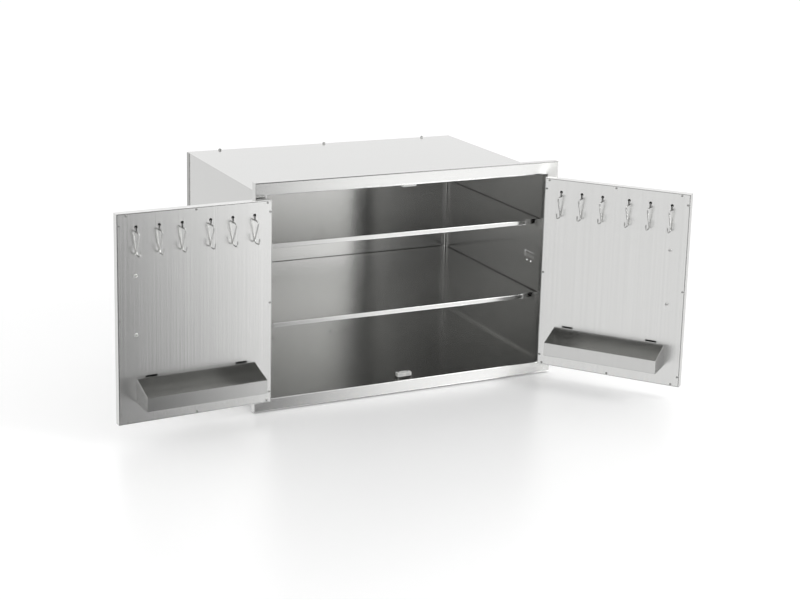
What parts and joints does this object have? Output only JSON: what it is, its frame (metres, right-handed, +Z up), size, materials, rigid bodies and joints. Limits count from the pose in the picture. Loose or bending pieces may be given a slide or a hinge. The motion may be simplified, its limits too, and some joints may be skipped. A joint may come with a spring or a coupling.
{
  "type": "built-in outdoor kitchen storage cabinet",
  "caption": "Built-in storage cabinet of folded stainless sheet for an outdoor kitchen, with a face frame, hinged doors that carry hooks and trays, and lift-out shelves.",
  "frame": {"origin": "on the standing surface under the middle of the box, on the underside of the centre runner", "axes": "+Z up, -Y out of the front of the cabinet, +X to the right seen from the front"},
  "size_m": [1.2781, 0.8319, 0.524],
  "materials": {
    "box_steel": "satin brushed",
    "door_steel": "vertical brushed",
    "frame_steel": "fine brushed",
    "bright_steel": "polished",
    "fastener": "bright plated",
    "catch_body": "smooth",
    "magnet": "ground"
  },
  "bodies": {
    "cabinet": {"back_panel": "box_steel", "catch_magnets": "magnet", "catch_screws": "fastener", "centre_runner": "box_steel", "floor_panel": "box_steel", "floor_rivets": "fastener", "frame_bottom_rail": "frame_steel", "frame_left_stile": "frame_steel", "frame_right_stile": "frame_steel", "frame_top_rail": "frame_steel", "left_hinge_frame_leaves": "frame_steel", "left_hinge_frame_screws": "fastener", "left_hinge_pins": "fastener", "left_runner": "box_steel", "left_side_panel": "box_steel", "lower_catch": "catch_body", "lower_catch_riser": "box_steel", "rear_bolts": "fastener", "rear_nuts": "fastener", "right_hinge_frame_leaves": "frame_steel", "right_hinge_frame_screws": "fastener", "right_hinge_pins": "fastener", "right_runner": "box_steel", "right_side_panel": "box_steel", "shelf_clips": "bright_steel", "top_panel": "box_steel", "upper_catch": "catch_body"},
    "left_door": {"left_door_liner": "door_steel", "left_door_skin": "door_steel", "left_handle": "bright_steel", "left_handle_bolts": "fastener", "left_hinge_door_leaves": "frame_steel", "left_hinge_door_screws": "fastener", "left_liner_screws": "fastener"},
    "left_tray": {"left_tray": "door_steel"},
    "right_door": {"right_door_liner": "door_steel", "right_door_skin": "door_steel", "right_handle": "bright_steel", "right_handle_bolts": "fastener", "right_hinge_door_leaves": "frame_steel", "right_hinge_door_screws": "fastener", "right_liner_screws": "fastener"},
    "right_tray": {"right_tray": "door_steel"},
    "lower_shelf": {"lower_shelf": "box_steel"},
    "upper_shelf": {"upper_shelf": "box_steel"},
    "left_hook_1": {"left_hook_1": "bright_steel"},
    "left_hook_2": {"left_hook_2": "bright_steel"},
    "left_hook_3": {"left_hook_3": "bright_steel"},
    "left_hook_4": {"left_hook_4": "bright_steel"},
    "left_hook_5": {"left_hook_5": "bright_steel"},
    "left_hook_6": {"left_hook_6": "bright_steel"},
    "right_hook_1": {"right_hook_1": "bright_steel"},
    "right_hook_2": {"right_hook_2": "bright_steel"},
    "right_hook_3": {"right_hook_3": "bright_steel"},
    "right_hook_4": {"right_hook_4": "bright_steel"},
    "right_hook_5": {"right_hook_5": "bright_steel"},
    "right_hook_6": {"right_hook_6": "bright_steel"}
  },
  "joints": [
    {"name": "left_door_swing", "type": "hinge", "parent": "cabinet", "child": "left_door", "pos_m": [-0.35135, -0.268, 0.2635], "axis": [0, 0, -1], "range_deg": [-176.8, 3.2]},
    {"name": "right_door_swing", "type": "hinge", "parent": "cabinet", "child": "right_door", "pos_m": [0.35135, -0.268, 0.2635], "axis": [0, 0, 1], "range_deg": [-128.6, 51.4]},
    {"name": "left_tray_lift", "type": "slide", "parent": "left_door", "child": "left_tray", "axis": [0, 0, 1], "range_m": [0, 0.0033]},
    {"name": "right_tray_lift", "type": "slide", "parent": "right_door", "child": "right_tray", "axis": [0, 0, 1], "range_m": [0, 0.0033]},
    {"name": "lower_shelf_lift", "type": "slide", "parent": "cabinet", "child": "lower_shelf", "axis": [0, 0, 1], "range_m": [0, 0.008]},
    {"name": "upper_shelf_lift", "type": "slide", "parent": "cabinet", "child": "upper_shelf", "axis": [0, 0, 1], "range_m": [0, 0.008]},
    {"name": "left_hook_1_lift", "type": "slide", "parent": "left_door", "child": "left_hook_1", "axis": [0, 0, 1], "range_m": [0, 0.01]},
    {"name": "left_hook_2_lift", "type": "slide", "parent": "left_door", "child": "left_hook_2", "axis": [0, 0, 1], "range_m": [0, 0.01]},
    {"name": "left_hook_3_lift", "type": "slide", "parent": "left_door", "child": "left_hook_3", "axis": [0, 0, 1], "range_m": [0, 0.01]},
    {"name": "left_hook_4_lift", "type": "slide", "parent": "left_door", "child": "left_hook_4", "axis": [0, 0, 1], "range_m": [0, 0.01]},
    {"name": "left_hook_5_lift", "type": "slide", "parent": "left_door", "child": "left_hook_5", "axis": [0, 0, 1], "range_m": [0, 0.01]},
    {"name": "left_hook_6_lift", "type": "slide", "parent": "left_door", "child": "left_hook_6", "axis": [0, 0, 1], "range_m": [0, 0.01]},
    {"name": "right_hook_1_lift", "type": "slide", "parent": "right_door", "child": "right_hook_1", "axis": [0, 0, 1], "range_m": [0, 0.01]},
    {"name": "right_hook_2_lift", "type": "slide", "parent": "right_door", "child": "right_hook_2", "axis": [0, 0, 1], "range_m": [0, 0.01]},
    {"name": "right_hook_3_lift", "type": "slide", "parent": "right_door", "child": "right_hook_3", "axis": [0, 0, 1], "range_m": [0, 0.01]},
    {"name": "right_hook_4_lift", "type": "slide", "parent": "right_door", "child": "right_hook_4", "axis": [0, 0, 1], "range_m": [0, 0.01]},
    {"name": "right_hook_5_lift", "type": "slide", "parent": "right_door", "child": "right_hook_5", "axis": [0, 0, 1], "range_m": [0, 0.01]},
    {"name": "right_hook_6_lift", "type": "slide", "parent": "right_door", "child": "right_hook_6", "axis": [0, 0, 1], "range_m": [0, 0.01]}
  ]
}
